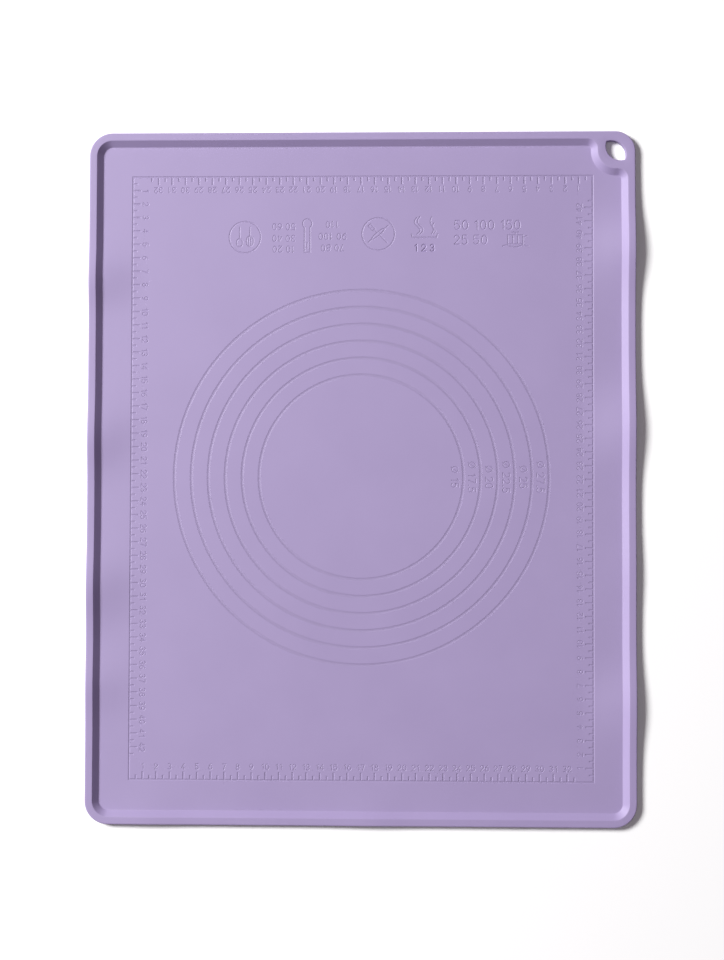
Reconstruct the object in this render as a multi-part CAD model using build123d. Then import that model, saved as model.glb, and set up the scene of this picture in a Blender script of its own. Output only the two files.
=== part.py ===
from build123d import *
import os

# Silicone baking mat with a raised rim, engraved rulers and rings, and a corner to hang it by.
# It is one soft moulding, divided here into its bed, its rim runs and its corners, face to face.
# Millimetres. X points right, Y to the end with the hanging corner, Z up.
# The origin is the middle of the underside.

# Overall size
mat_width = 402.0
mat_length = 508.0

# Section of the rim: a flat top, then a wall that leans in to the thin bed
bed_thickness = 1.2
rim_height = 5.0
rim_flat = 5.5
wall_run = 4.5
edge_round = 0.8
foot_round = 1.0
foot_lip = 1.0

# Radius of the three plain corners at the foot of the wall
bed_corner_radius = 7.0

# Hanging corner: a raised pad with an eye-shaped hole across the corner's diagonal
hanging_radius = 15.0
pad_reach = 27.6
pad_flank = 1.1
pad_blend = 3.0
pad_edging = 1.5
hole_length = 18.8
hole_width = 11.8
hole_inset = 14.3
hole_tip_round = 1.2
hole_edge_round = 0.6

# Engraved marks: a frame line, a ruler along each of its sides, and rings of set diameters
groove_depth = 0.3
line_width = 1.5
frame_width = 339.0
frame_length = 443.5
centimetre = 10.0
ruler_end_gap = 13.8
whole_tick = 6.0
half_tick = 3.5
tick_width = 1.2
smallest_ring = 150.0
ring_step = 25.0
ring_count = 6
marks_right = 0.5

# How far a cutting body runs past the face that it starts from
overrun = 2.0

# Worked out from the sizes above
side_x = mat_width / 2
end_y = mat_length / 2
wall_foot = rim_flat + wall_run
rim_width = wall_foot + foot_lip
corner_radius = wall_foot + bed_corner_radius
corner_x = side_x - corner_radius
corner_y = end_y - corner_radius
pad_foot = pad_reach + wall_run
pad_centre = wall_foot + pad_blend + pad_flank
pad_radius = pad_foot - pad_centre
hanging_zone = pad_foot + pad_blend

up = Vector(0, 0, 1)
to_right = Vector(1, 0, 0)
to_back = Vector(0, 1, 0)


def rim_section():
    """Section of the rim: X runs from the outer edge inwards, Y runs up."""
    section = make_face(
        Polyline(
            (0, 0),
            (0, rim_height),
            (rim_flat, rim_height),
            (wall_foot, bed_thickness),
            (rim_width, bed_thickness),
            (rim_width, 0),
            close=True,
        )
    )
    rounds = (
        ((0, rim_height), edge_round),
        ((rim_flat, rim_height), edge_round),
        ((wall_foot, bed_thickness), foot_round),
    )
    for place, radius in rounds:
        section = fillet(section.vertices().sort_by_distance(place)[0], radius)
    return section


def rim_strip(near, far):
    """The rim's section between two distances from the outer edge, moved to start at zero."""
    strip = Rectangle(far - near, rim_height + overrun, align=(Align.MIN, Align.MIN))
    return (Pos(-near, 0) * rim_section()) & strip


def across_rim(start, inwards):
    """Plane that holds a rim section at a point of the outer edge, and faces along the rim."""
    return Plane(origin=start, x_dir=inwards, z_dir=inwards.cross(up))


def rim_run(start, inwards, length):
    """A straight stretch of rim that goes anticlockwise from a point of the outer edge."""
    return extrude(across_rim(start, inwards) * rim_section(), length)


def rim_corner(start, inwards):
    """The quarter turn of rim that follows a run which ends at this point."""
    turn = Axis(Vector(*start) + inwards * corner_radius, up)
    return revolve(across_rim(start, inwards) * rim_section(), turn, 90)


def from_hanging_corner(from_side, from_back):
    """The point that lies this far in from the right side and from the back end."""
    return (side_x - from_side, end_y - from_back)


def pad_border(shift):
    """Foot line of the pad's wall, from the right rim to the back rim, moved to the bed."""
    rim_line = wall_foot + shift
    pad_line = pad_foot + shift
    blend_end = wall_foot + pad_blend
    blend_radius = pad_blend - shift
    right_rim = from_hanging_corner(rim_line, hanging_zone)
    front_blend = from_hanging_corner(blend_end, pad_line)
    front_flank = from_hanging_corner(pad_centre, pad_line)
    left_flank = from_hanging_corner(pad_line, pad_centre)
    left_blend = from_hanging_corner(pad_line, blend_end)
    back_rim = from_hanging_corner(hanging_zone, rim_line)
    return Wire(
        [
            RadiusArc(right_rim, front_blend, -blend_radius),
            Line(front_blend, front_flank),
            RadiusArc(front_flank, left_flank, pad_radius + shift),
            Line(left_flank, left_blend),
            RadiusArc(left_blend, back_rim, -blend_radius),
        ]
    )


def outer_border(inset):
    """The outer edge round the hanging corner, moved in by an inset."""
    return FilletPolyline(
        from_hanging_corner(inset, hanging_zone),
        from_hanging_corner(inset, inset),
        from_hanging_corner(hanging_zone, inset),
        radius=hanging_radius - inset,
    )


def hanging_plan(shift, inset):
    """Plan between the outer edge, moved in by the inset, and the pad's shifted foot line."""
    inner = pad_border(shift)
    outer = outer_border(inset)
    sides = [Line(inner @ 0, outer @ 0), Line(inner @ 1, outer @ 1)]
    return make_face(inner.edges() + outer.edges() + sides)


def eye_hole():
    """Plan of the hole: two equal arcs that meet in softened tips."""
    left_tip = (-hole_length / 2, 0)
    right_tip = (hole_length / 2, 0)
    eye = make_face(
        [
            ThreePointArc(left_tip, (0, hole_width / 2), right_tip),
            ThreePointArc(right_tip, (0, -hole_width / 2), left_tip),
        ]
    )
    eye = fillet(eye.vertices(), hole_tip_round)
    return Pos(*from_hanging_corner(hole_inset, hole_inset)) * Rot(Z=-45) * eye


def make_hanging_corner():
    """The raised pad: a core, the rim's outer edge and wall swept round it, and the hole."""
    wall_back = wall_run + pad_edging
    core = extrude(hanging_plan(-wall_back, pad_edging), rim_height)

    outer_path = outer_border(0)
    edging = across_rim(outer_path @ 0, -to_right) * rim_strip(0, pad_edging)
    wall_path = pad_border(-wall_back)
    wall = across_rim(wall_path @ 0, -to_right) * rim_strip(wall_foot - wall_back, rim_width)
    pad = core + sweep(edging, outer_path) + sweep(wall, wall_path)

    pad -= Pos(0, 0, -overrun) * extrude(eye_hole(), rim_height + 2 * overrun)
    level_faces = pad.faces().sort_by(Axis.Z)
    hole_rims = level_faces[0].inner_wires() + level_faces[-1].inner_wires()
    return fillet(hole_rims.edges(), hole_edge_round)


def ruler(side_length):
    """Ticks along X from a frame corner: one each half centimetre, longer on the whole ones."""
    spacing = centimetre / 2
    ticks = []
    for half in range(1, int((side_length - ruler_end_gap) / spacing) + 1):
        length = half_tick if half % 2 else whole_tick
        tick = Rectangle(tick_width, length, align=(Align.CENTER, Align.MIN))
        ticks.append(Pos(half * spacing, 0) * tick)
    return ticks


def engraved_lines():
    """Plan of the frame line, its four rulers and the rings."""
    frame_line = Rectangle(frame_width + line_width, frame_length + line_width)
    frame_line -= Rectangle(frame_width - line_width, frame_length - line_width)
    corner_signs = ((-1, -1), (1, -1), (1, 1), (-1, 1))
    side_lengths = (frame_width, frame_length, frame_width, frame_length)
    ticks = []
    for turns, (sign, side_length) in enumerate(zip(corner_signs, side_lengths)):
        corner = Pos(sign[0] * frame_width / 2, sign[1] * frame_length / 2)
        ticks += [corner * Rot(Z=90 * turns) * tick for tick in ruler(side_length)]
    rings = []
    for ring in range(ring_count):
        radius = (smallest_ring + ring * ring_step) / 2
        band = Circle(radius + line_width / 2) - Circle(radius - line_width / 2)
        rings.append(band)
    return Pos(marks_right, 0) * (frame_line + ticks + rings)


def make_bed():
    """The thin bed inside the rim, with the marks cut into its upper face."""
    plan = RectangleRounded(
        mat_width - 2 * rim_width,
        mat_length - 2 * rim_width,
        bed_corner_radius - foot_lip,
    )
    plan -= hanging_plan(foot_lip, 0)
    bed = extrude(plan, bed_thickness)
    grooves = extrude(engraved_lines(), groove_depth + overrun)
    return bed - Pos(0, 0, bed_thickness - groove_depth) * grooves


front_run_start = (-corner_x, -end_y)
front_run_end = (corner_x, -end_y)
right_run_start = (side_x, -corner_y)
back_run_start = from_hanging_corner(hanging_zone, 0)
back_run_end = (-corner_x, end_y)
left_run_start = (-side_x, corner_y)
left_run_end = (-side_x, -corner_y)

nodes = {
    "bed_sheet": make_bed(),
    "rim_front": rim_run(front_run_start, to_back, 2 * corner_x),
    "rim_corner_front_right": rim_corner(front_run_end, to_back),
    "rim_right": rim_run(right_run_start, -to_right, corner_y + end_y - hanging_zone),
    "hanging_corner": make_hanging_corner(),
    "rim_back": rim_run(back_run_start, -to_back, side_x - hanging_zone + corner_x),
    "rim_corner_back_left": rim_corner(back_run_end, -to_back),
    "rim_left": rim_run(left_run_start, to_right, 2 * corner_y),
    "rim_corner_front_left": rim_corner(left_run_end, to_right),
}

os.makedirs("parts", exist_ok=True)
for name, solid in nodes.items():
    export_step(solid, f"parts/{name}.step")
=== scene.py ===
"""Silicone baking mat: its moulded skin with every engraved mark, its finish, and a plain studio.

The mat's nine zones stand in the CAD frame, and each is dressed by one closed mesh. All of them
share one skin: their borders use the same points, the same gentle waves and the same normals.
Lengths are in metres. X points right, Y to the end with the hanging corner, Z up.
"""

import logging
import math
from collections.abc import Iterable, Sequence
from dataclasses import dataclass, field
from enum import Enum

import bmesh
import bpy
import numpy as np
from mathutils import Matrix, Vector
from mathutils.geometry import delaunay_2d_cdt


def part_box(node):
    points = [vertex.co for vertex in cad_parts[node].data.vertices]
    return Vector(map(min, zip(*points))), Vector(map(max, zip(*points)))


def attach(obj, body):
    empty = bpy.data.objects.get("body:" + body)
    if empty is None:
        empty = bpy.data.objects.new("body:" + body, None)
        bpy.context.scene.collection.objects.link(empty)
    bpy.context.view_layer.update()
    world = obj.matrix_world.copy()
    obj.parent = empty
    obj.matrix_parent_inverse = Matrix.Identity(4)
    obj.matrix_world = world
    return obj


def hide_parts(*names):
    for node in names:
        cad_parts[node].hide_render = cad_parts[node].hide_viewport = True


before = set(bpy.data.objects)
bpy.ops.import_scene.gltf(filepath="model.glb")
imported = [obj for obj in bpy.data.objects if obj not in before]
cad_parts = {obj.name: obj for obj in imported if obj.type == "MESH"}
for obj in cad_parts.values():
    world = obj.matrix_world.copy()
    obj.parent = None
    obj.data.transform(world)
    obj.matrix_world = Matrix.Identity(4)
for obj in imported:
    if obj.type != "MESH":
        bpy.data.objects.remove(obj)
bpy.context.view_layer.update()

log = logging.getLogger("baking_mat")

MM = 0.001
FULL_TURN = 2.0 * math.pi
HALF_TURN = math.pi
QUARTER_TURN = math.pi / 2.0
TRIANGLE_SLACK = 1.0e-5
TINY = 1.0e-20

Point = tuple[float, float]
Stroke = list[Point]
Colour = tuple[float, float, float, float]


def evenly(start: float, end: float, count: int) -> list[float]:
    """Gives values from start to end in equal steps, both ends included."""
    return [start + (end - start) * i / count for i in range(count + 1)]


def moved(point: Point, place: Point, angle: float) -> Point:
    """Turns a point about zero by an angle, then moves it to a place.

    Args:
        point: The point.
        place: Where zero goes.
        angle: The angle, in radians.

    Returns:
        The moved point.
    """
    across, along = math.cos(angle), math.sin(angle)
    x, y = point
    return (place[0] + x * across - y * along, place[1] + x * along + y * across)


class Side(Enum):
    """The kinds of face on a piece; normals are smooth within each of the first two."""

    UPPER = 0
    UNDER = 1
    JOINT = 2
    GROOVE = 3


@dataclass(frozen=True)
class Station:
    """A place on a plan line, and the level direction in which the section is laid off there."""

    x: float
    y: float
    toward_x: float
    toward_y: float

    def point(self, distance: float) -> Point:
        """Gives the point this far along the station's direction."""
        return (self.x + self.toward_x * distance, self.y + self.toward_y * distance)


def straight(start: Point, end: Point, toward: Point, step: float) -> list[Station]:
    """Lays stations along a straight line.

    Args:
        start: First place.
        end: Last place.
        toward: Direction in which the section is laid off.
        step: Largest spacing.

    Returns:
        The stations, both ends included.
    """
    count = max(1, math.ceil(math.dist(start, end) / step))
    places = zip(evenly(start[0], end[0], count), evenly(start[1], end[1], count))
    return [Station(x, y, *toward) for x, y in places]


def arc_points(centre: Point, radius: float, start: float, end: float, steps: int) -> list[Point]:
    """Gives the points of an arc, both ends included.

    Args:
        centre: Middle of the arc.
        radius: Its radius.
        start: First angle.
        end: Last angle.
        steps: Number of equal steps.

    Returns:
        The points.
    """
    return [
        (centre[0] + radius * math.cos(angle), centre[1] + radius * math.sin(angle))
        for angle in evenly(start, end, steps)
    ]


def turn(
    centre: Point, radius: float, start: float, end: float, steps: int, outwards: bool
) -> list[Station]:
    """Lays stations round an arc.

    Args:
        centre: Middle of the arc.
        radius: Its radius.
        start: First angle.
        end: Last angle.
        steps: Number of equal steps.
        outwards: True if the section is laid off away from the centre, False if towards it.

    Returns:
        The stations, both ends included.
    """
    sign = 1.0 if outwards else -1.0
    places = zip(arc_points(centre, radius, start, end, steps), evenly(start, end, steps))
    return [Station(*place, sign * math.cos(a), sign * math.sin(a)) for place, a in places]


def joined(*runs: Sequence[Station]) -> list[Station]:
    """Joins runs of stations, and drops each run's first station where it repeats the last one.

    Args:
        *runs: The runs, in order.

    Returns:
        All their stations.
    """
    line = list(runs[0])
    for run in runs[1:]:
        line.extend(run[1:])
    return line


@dataclass(frozen=True)
class RimSection:
    """Section across the rim, laid off from the outer edge inwards."""

    height: float
    bed: float
    width: float
    flat: float = 5.5 * MM
    wall_run: float = 4.5 * MM
    edge_round: float = 0.8 * MM
    shoulder_round: float = 0.8 * MM
    foot_round: float = 1.0 * MM
    edging: float = 1.5 * MM
    steps: int = 5

    @property
    def foot(self) -> float:
        """Distance from the outer edge to the foot of the wall."""
        return self.flat + self.wall_run

    @property
    def wall_back(self) -> float:
        """Distance from the outer edge at which the pad's wall section begins."""
        return self.flat - self.edging

    @property
    def lean(self) -> float:
        """Angle between the wall and the bed."""
        return math.atan2(self.height - self.bed, self.wall_run)

    def outer_part(self) -> list[Point]:
        """Gives the outer edge: up from the underside and over on to the flat top.

        Returns:
            Its points, as distance and height.
        """
        centre = (self.edge_round, self.height - self.edge_round)
        return [
            (0.0, 0.0),
            *arc_points(centre, self.edge_round, HALF_TURN, QUARTER_TURN, self.steps),
            (self.edging, self.height),
        ]

    def inner_part(self) -> list[Point]:
        """Gives the wall: from the flat top over its shoulder, down, and out on to the bed.

        Returns:
            Its points, as distance and height.
        """
        lean, steps = self.lean, self.steps
        half_lean = math.tan(lean / 2.0)
        shoulder = (self.flat - self.shoulder_round * half_lean, self.height - self.shoulder_round)
        hollow = (self.foot + self.foot_round * half_lean, self.bed + self.foot_round)
        return [
            (self.wall_back, self.height),
            *arc_points(shoulder, self.shoulder_round, QUARTER_TURN, QUARTER_TURN - lean, steps),
            *arc_points(hollow, self.foot_round, -QUARTER_TURN - lean, -QUARTER_TURN, steps),
            (self.width, self.bed),
        ]

    def whole(self) -> list[Point]:
        """Gives the upper outline of the whole section."""
        return self.outer_part() + self.inner_part()


class Shell:
    """One closed piece of the skin: points welded by place, and faces sorted by their side."""

    WELD = 1.0e-7

    def __init__(self, name: str) -> None:
        """Starts an empty piece.

        Args:
            name: The node that the piece replaces.
        """
        self.name = name
        self.points: list[tuple[float, float, float]] = []
        self.faces: list[tuple[int, ...]] = []
        self.sides: list[Side] = []
        self._places: dict[tuple[int, int, int], int] = {}

    def point(self, x: float, y: float, z: float) -> int:
        """Returns the number of the point at this place, and makes it if it is new.

        Args:
            x: Place along X.
            y: Place along Y.
            z: Place along Z.

        Returns:
            The point's number.
        """
        place = (round(x / self.WELD), round(y / self.WELD), round(z / self.WELD))
        if place not in self._places:
            self._places[place] = len(self.points)
            self.points.append((x, y, z))
        return self._places[place]

    def face(self, side: Side, *corners: int) -> None:
        """Adds a face, unless its corners weld to less than three points.

        Args:
            side: What the face belongs to.
            *corners: Numbers of its points.
        """
        kept = [c for i, c in enumerate(corners) if c != corners[i - 1]]
        if len(set(kept)) >= 3:
            self.faces.append(tuple(kept))
            self.sides.append(side)

    def strip(self, side: Side, rows: Sequence[Sequence[int]]) -> None:
        """Adds the quads between rows of points, each row as long as the next.

        Args:
            side: What the faces belong to.
            rows: Numbers of the points.
        """
        for first, second in zip(rows, rows[1:]):
            for i in range(len(first) - 1):
                self.face(side, first[i], first[i + 1], second[i + 1], second[i])

    def loft(
        self, side: Side, stations: Sequence[Station], section: Sequence[Point], back: float = 0.0
    ) -> None:
        """Sweeps a section along stations.

        Args:
            side: What the faces belong to.
            stations: Where the section goes.
            section: Its points, as distance and height.
            back: Distance in the section at which the stations lie.
        """
        rows = [
            [self.point(*station.point(distance - back), height) for distance, height in section]
            for station in stations
        ]
        self.strip(side, rows)

    def cap(self, station: Station, section: RimSection) -> None:
        """Closes an end of the rim with one face."""
        outline = [*section.whole(), (section.width, 0.0)]
        self.face(Side.JOINT, *(self.point(*station.point(d), height) for d, height in outline))

    def plane(
        self, side: Side, z: float, loops: Sequence[Sequence[Point]], loose: Sequence[Point] = ()
    ) -> None:
        """Fills a level region with triangles.

        Args:
            side: What the faces belong to.
            z: Height of the region.
            loops: Its outline, then the outlines of its holes.
            loose: More points inside it.
        """
        places: list[Point] = []
        lines: list[tuple[int, int]] = []
        for loop in loops:
            lines.extend(closed_lines(len(places), len(loop)))
            places.extend(loop)
        on_loops = len(places)
        places.extend(loose)
        for face, origins in triangulated(places, lines).corners():
            if all(min(o) < on_loops for o in origins):
                middle = middle_of(face)
                if not inside(middle, loops[0]) or any(inside(middle, hole) for hole in loops[1:]):
                    continue
            self.face(side, *(self.point(x, y, z) for x, y in face))


def inside(point: Point, outline: Sequence[Point]) -> bool:
    """Tells whether a point lies inside an outline.

    Args:
        point: The point.
        outline: The outline's corners.

    Returns:
        True if it lies inside.
    """
    within = False
    for (x0, y0), (x1, y1) in zip(outline, [*outline[1:], outline[0]]):
        if (y0 > point[1]) != (y1 > point[1]):
            within ^= point[0] < x0 + (x1 - x0) * (point[1] - y0) / (y1 - y0)
    return within


def middle_of(corners: Sequence[Point]) -> Point:
    """Gives the middle of a triangle's corners."""
    return (sum(c[0] for c in corners) / len(corners), sum(c[1] for c in corners) / len(corners))


def closed_lines(first: int, count: int) -> list[tuple[int, int]]:
    """Gives the lines that close a loop of consecutive points."""
    return [(first + i, first + (i + 1) % count) for i in range(count)]


@dataclass(frozen=True)
class Triangulation:
    """Triangles over given points, which keep to given lines.

    Attributes:
        places: The points, each given one unchanged.
        origins: For each point the given points that it stands for; for a crossing of lines, the
            first points of those lines.
        faces: The triangles.
    """

    places: list[Point]
    origins: list[list[int]]
    faces: list[list[int]]

    def corners(self) -> Iterable[tuple[list[Point], list[list[int]]]]:
        """Gives each triangle's corners and their origins."""
        for face in self.faces:
            yield [self.places[i] for i in face], [self.origins[i] for i in face]


def triangulated(places: Sequence[Point], lines: Sequence[tuple[int, int]]) -> Triangulation:
    """Triangulates points, and keeps to the lines between some of them.

    Args:
        places: The points.
        lines: Pairs of numbers of points.

    Returns:
        The triangulation.
    """
    flat = [Vector((x / MM, y / MM)) for x, y in places]
    made = delaunay_2d_cdt(flat, lines, [], 0, TRIANGLE_SLACK)
    verts, edges, faces, points_from, edges_from = made[:5]
    origins = [list(given) for given in points_from]
    for ends, given in zip(edges, edges_from):
        crossed = [lines[g][0] for g in given if g < len(lines)]
        for end in ends:
            if not points_from[end]:
                origins[end] += crossed
    exact = [
        places[given[0]] if given else (vert.x * MM, vert.y * MM)
        for vert, given in zip(verts, points_from)
    ]
    return Triangulation(exact, origins, faces)


@dataclass(frozen=True)
class Hump:
    """A stretch of the mat's edge that stands off the table, in millimetres."""

    place: float
    lift: float
    spread: float


@dataclass(frozen=True)
class Waves:
    """The gentle unevenness of the soft mat as it lies: the humps along three of its edges."""

    side_x: float
    end_y: float
    reach: float = 40.0 * MM
    left: tuple[Hump, ...] = (
        Hump(146.0, 2.4, 17.0),
        Hump(28.0, 2.6, 22.0),
        Hump(-81.0, 2.6, 22.0),
        Hump(-154.0, 1.5, 18.0),
    )
    right: tuple[Hump, ...] = (
        Hump(170.0, 4.2, 26.0),
        Hump(38.0, 3.5, 28.0),
        Hump(-68.0, 1.1, 24.0),
        Hump(-165.0, 2.8, 27.0),
    )
    front: tuple[Hump, ...] = (Hump(9.0, 0.9, 26.0), Hump(-155.0, 0.9, 24.0))

    def _fall(self, distance: np.ndarray) -> np.ndarray:
        """Fades a lift from the outer edge to the reach."""
        share = np.clip(distance / self.reach, 0.0, 1.0)
        return 1.0 - share * share * (3.0 - 2.0 * share)

    def lift(self, x: np.ndarray, y: np.ndarray) -> np.ndarray:
        """Gives how far the mat stands off the table at these places.

        Args:
            x: Places along X.
            y: Places along Y.

        Returns:
            The lift at each.
        """
        total = np.zeros_like(x)
        rows = (
            (self.left, y, self.side_x + x),
            (self.right, y, self.side_x - x),
            (self.front, x, self.end_y + y),
        )
        for humps, along, inwards in rows:
            fall = self._fall(inwards)
            for hump in humps:
                away = (along - hump.place * MM) / (hump.spread * MM)
                total = total + hump.lift * MM * np.exp(-(away**2)) * fall
        return total


@dataclass(frozen=True)
class Groove:
    """An engraved line's section: half its width at the top and at the floor, and its depth."""

    half_width: float
    depth: float
    half_floor: float = 0.0

    def levels(self) -> list[tuple[float, float]]:
        """Gives the distance from the centre line and the depth of each contour.

        Returns:
            One pair for the edge, and one for the floor if it is flat.
        """
        edges = [(self.half_width, 0.0)]
        if self.half_floor:
            edges.append((self.half_floor, self.depth))
        return edges


RING_GROOVE = Groove(1.25 * MM, 0.14 * MM, 0.35 * MM)
TICK_GROOVE = Groove(0.74 * MM, 0.22 * MM, 0.30 * MM)
DIGIT_GROOVE = Groove(0.44 * MM, 0.20 * MM)
LABEL_GROOVE = Groove(0.44 * MM, 0.20 * MM)
LARGE_LABEL_GROOVE = Groove(0.52 * MM, 0.27 * MM)
BOLD_LABEL_GROOVE = Groove(0.62 * MM, 0.42 * MM)
PICTURE_GROOVE = Groove(0.62 * MM, 0.18 * MM)


@dataclass(frozen=True)
class Contour:
    """A line on the bed that lies at one depth."""

    points: tuple[Point, ...]
    depth: float
    closed: bool = True

    def placed(self, place: Point, angle: float) -> "Contour":
        """Returns the contour turned by an angle and moved to a place."""
        return Contour(tuple(moved(p, place, angle) for p in self.points), self.depth, self.closed)


def bow(
    x: float, y: float, across: float, along: float, start: float, end: float, steps: int = 14
) -> Stroke:
    """Gives a stroke along part of an ellipse.

    Args:
        x: Middle of the ellipse, across.
        y: Middle of the ellipse, along.
        across: Its half width.
        along: Its half height.
        start: First angle, in degrees.
        end: Last angle, in degrees.
        steps: Number of equal steps.

    Returns:
        The stroke.
    """
    angles = [math.radians(angle) for angle in evenly(start, end, steps)]
    return [(x + across * math.cos(angle), y + along * math.sin(angle)) for angle in angles]


class Numerals:
    """Plain single-line numerals of unit height, drawn for engraving."""

    WIDTH = 0.58
    SPACE = 0.30
    POINT_WIDTH = 0.04

    def strokes(self, sign: str) -> list[Stroke]:
        """Gives the strokes of one sign, with its lower left corner at zero.

        Args:
            sign: The sign.

        Returns:
            Its strokes.
        """
        w = self.WIDTH
        half = w / 2.0
        left = half - 0.02
        shapes: dict[str, list[Stroke]] = {
            "0": [bow(half, 0.5, half, 0.5, 90, 450, 22)],
            "1": [[(0.12, 0.78), (0.36, 1.0), (0.36, 0.0)]],
            "2": [[*bow(half, 0.71, half, 0.29, 170, -32), (0.0, 0.0), (w, 0.0)]],
            "3": [
                bow(left, 0.75, half - 0.04, 0.25, 155, -90),
                bow(left, 0.25, half, 0.25, 90, -155),
            ],
            "4": [[(w + 0.04, 0.27), (0.0, 0.27), (0.42, 1.0), (0.42, 0.0)]],
            "5": [
                [(w - 0.04, 1.0), (0.07, 1.0), (0.02, 0.52), *bow(left, 0.32, half, 0.32, 128, -150)]
            ],
            "6": [bow(half, 0.31, half, 0.31, 0, 360, 18), bow(w, 0.31, w, 0.69, 180, 103, 8)],
            "7": [[(0.0, 1.0), (w, 1.0), (0.2, 0.0)]],
            "8": [
                bow(half, 0.76, half - 0.05, 0.24, 0, 360, 16),
                bow(half, 0.26, half, 0.26, 0, 360, 18),
            ],
            "9": [bow(half, 0.69, half, 0.31, 0, 360, 18), bow(0.0, 0.69, w, 0.69, 0, -77, 8)],
            "Ø": [bow(0.4, 0.5, 0.4, 0.44, 90, 450, 22), [(0.06, -0.04), (0.74, 1.04)]],
            ".": [[(0.0, 0.0), (self.POINT_WIDTH, 0.0)]],
            " ": [],
        }
        return shapes[sign]

    def advance(self, sign: str) -> float:
        """Gives the width of a sign without the space after it."""
        return {"Ø": 0.8, ".": self.POINT_WIDTH, " ": 0.1, "1": 0.44}.get(sign, self.WIDTH)

    def line(self, text: str, height: float) -> list[Stroke]:
        """Sets a line of signs, centred on zero.

        Args:
            text: The signs.
            height: Their height.

        Returns:
            The strokes at that height.
        """
        length = sum(self.advance(s) + self.SPACE for s in text) - self.SPACE
        left = -length / 2.0
        placed = []
        for sign in text:
            for stroke in self.strokes(sign):
                placed.append([((left + x) * height, (y - 0.5) * height) for x, y in stroke])
            left += self.advance(sign) + self.SPACE
        return placed


@dataclass
class Engraver:
    """Turns strokes into the contours of engraved grooves."""

    cell: float = 0.11 * MM
    slack: float = 0.014 * MM
    shortest_step: float = 0.01 * MM
    margin_cells: float = 2.0
    _cut: dict[tuple[str, float, float], list[Contour]] = field(default_factory=dict)

    def cut(self, name: str, strokes: Sequence[Stroke], groove: Groove) -> list[Contour]:
        """Contours a set of strokes, and keeps the result under its name.

        Args:
            name: What the strokes show.
            strokes: Their centre lines.
            groove: Section of the groove.

        Returns:
            The groove's centre lines and the contour of its edge.
        """
        key = (name, groove.half_width, groove.depth)
        if key not in self._cut:
            lines = without_repeats(strokes, self.shortest_step)
            contours = [Contour(tuple(line), groove.depth, False) for line in lines]
            reach = groove.half_width + self.margin_cells * self.cell
            spots = np.array([p for s in strokes for p in s])
            low, high = spots.min(axis=0) - reach, spots.max(axis=0) + reach
            across = np.arange(low[0], high[0] + self.cell, self.cell)
            along = np.arange(low[1], high[1] + self.cell, self.cell)
            field_ = distance_field(across, along, strokes)
            for distance, depth in groove.levels():
                for loop in level_loops(across, along, field_ - distance):
                    contours.append(Contour(tuple(thinned(loop, self.slack)), depth))
            self._cut[key] = contours
        return self._cut[key]


def without_repeats(strokes: Iterable[Stroke], shortest: float) -> list[Stroke]:
    """Gives the strokes without points that all but repeat the one before.

    Args:
        strokes: The strokes.
        shortest: Length of the shortest step kept.

    Returns:
        The strokes without those points.
    """
    return [
        [p for i, p in enumerate(stroke) if i == 0 or math.dist(p, stroke[i - 1]) > shortest]
        for stroke in strokes
    ]


def distance_field(across: np.ndarray, along: np.ndarray, strokes: Sequence[Stroke]) -> np.ndarray:
    """Gives the distance from each grid point to the nearest stroke.

    Args:
        across: The grid's places along X.
        along: The grid's places along Y.
        strokes: The strokes.

    Returns:
        The distances over the grid.
    """
    grid_x, grid_y = np.meshgrid(across, along, indexing="ij")
    nearest = np.full(grid_x.shape, 1.0)
    for stroke in strokes:
        for (x0, y0), (x1, y1) in zip(stroke, stroke[1:]):
            run_x, run_y = x1 - x0, y1 - y0
            length = max(run_x * run_x + run_y * run_y, TINY)
            share = np.clip(((grid_x - x0) * run_x + (grid_y - y0) * run_y) / length, 0.0, 1.0)
            gap = np.hypot(grid_x - x0 - share * run_x, grid_y - y0 - share * run_y)
            nearest = np.minimum(nearest, gap)
    return nearest


def level_loops(across: np.ndarray, along: np.ndarray, height: np.ndarray) -> list[list[Point]]:
    """Traces the closed lines on which a field over a grid is zero.

    Args:
        across: The grid's places along X.
        along: The grid's places along Y.
        height: The field, negative inside.

    Returns:
        The loops.
    """
    below = height < 0.0
    links: dict[tuple[int, int, int], list[tuple[int, int, int]]] = {}

    def link(a: tuple[int, int, int], b: tuple[int, int, int]) -> None:
        """Joins two crossings."""
        links.setdefault(a, []).append(b)
        links.setdefault(b, []).append(a)

    mixed = below[:-1, :-1].astype(int) + below[1:, :-1] + below[:-1, 1:] + below[1:, 1:]
    for i, j in np.argwhere((mixed > 0) & (mixed < 4)).tolist():
        corners = (below[i, j], below[i + 1, j], below[i + 1, j + 1], below[i, j + 1])
        sides = ((0, i, j), (1, i + 1, j), (0, i, j + 1), (1, i, j))
        crossed = [sides[k] for k in range(4) if corners[k] != corners[(k + 1) % 4]]
        if len(crossed) == 2:
            link(crossed[0], crossed[1])
        elif corners[0]:
            link(sides[3], sides[0])
            link(sides[1], sides[2])
        else:
            link(sides[0], sides[1])
            link(sides[2], sides[3])

    def place(crossing: tuple[int, int, int]) -> Point:
        """Gives where the field is zero on one side of a cell.

        Args:
            crossing: 1 for a side along Y or 0 for one along X, and the side's first corner.

        Returns:
            The place.
        """
        upright, i, j = crossing
        first, second = height[i, j], height[i + 1 - upright, j + upright]
        share = first / (first - second)
        if upright:
            return (across[i], along[j] + share * (along[j + 1] - along[j]))
        return (across[i] + share * (across[i + 1] - across[i]), along[j])

    loops = []
    while links:
        start, before = next(iter(links)), None
        loop, here = [], start
        while True:
            loop.append(place(here))
            ahead = links.pop(here)
            onward = ahead[0] if ahead[0] != before else ahead[1]
            before, here = here, onward
            if here == start:
                break
        loops.append([(float(x), float(y)) for x, y in loop])
    return loops


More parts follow.
